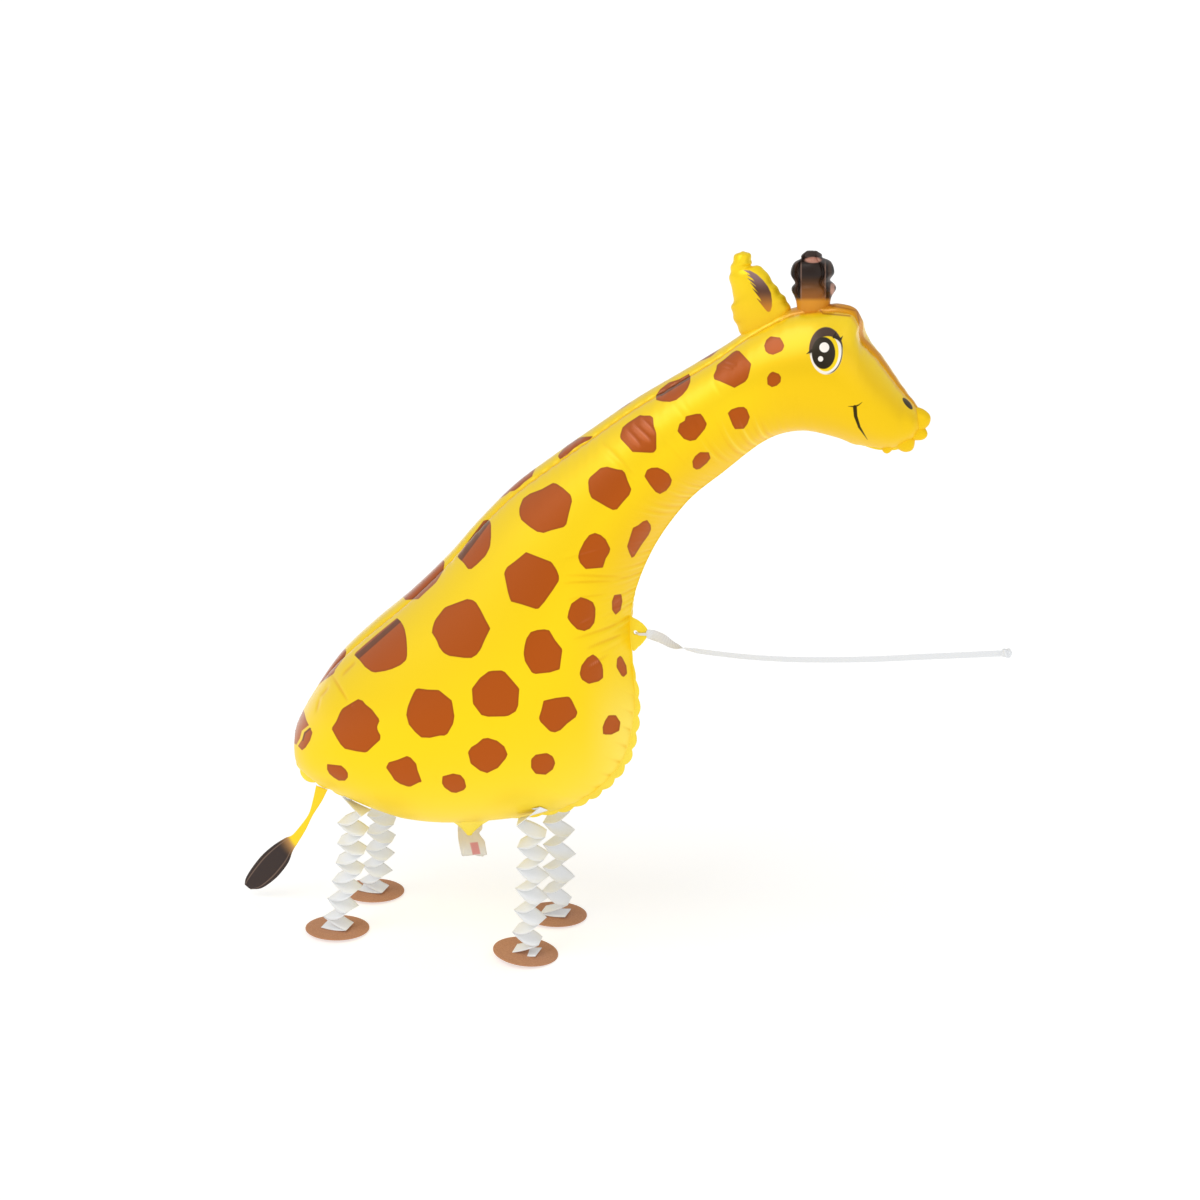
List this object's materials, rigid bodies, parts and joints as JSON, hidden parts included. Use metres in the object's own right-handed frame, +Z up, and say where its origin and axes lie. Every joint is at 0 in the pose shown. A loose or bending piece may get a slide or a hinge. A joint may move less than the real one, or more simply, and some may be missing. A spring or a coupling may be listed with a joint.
{
  "type": "giraffe foil balloon",
  "caption": "Foil balloon shaped like a walking giraffe, on folded paper legs with round card feet, with a tail, a filling valve and a leading ribbon.",
  "frame": {"origin": "on the floor under the middle of the standing figure, the ribbon left out", "axes": "+X towards the giraffe's nose, +Y towards its left side, +Z up from the floor"},
  "size_m": [0.7505, 0.192, 0.6742],
  "materials": {
    "yellow_foil": "satin printed foil",
    "valve_film": "translucent film",
    "tail_foil": "satin printed foil",
    "white_paper": "matte",
    "brown_card": "matte",
    "white_ribbon": "satin"
  },
  "bodies": {
    "root": {"balloon_body": "yellow_foil", "valve_neck": "valve_film", "tail": "tail_foil", "leg_front_right": "white_paper", "leg_front_left": "white_paper", "leg_hind_right": "white_paper", "leg_hind_left": "white_paper", "foot_front_right": "brown_card", "foot_front_left": "brown_card", "foot_hind_right": "brown_card", "foot_hind_left": "brown_card", "ribbon": "white_ribbon"}
  },
  "joints": []
}
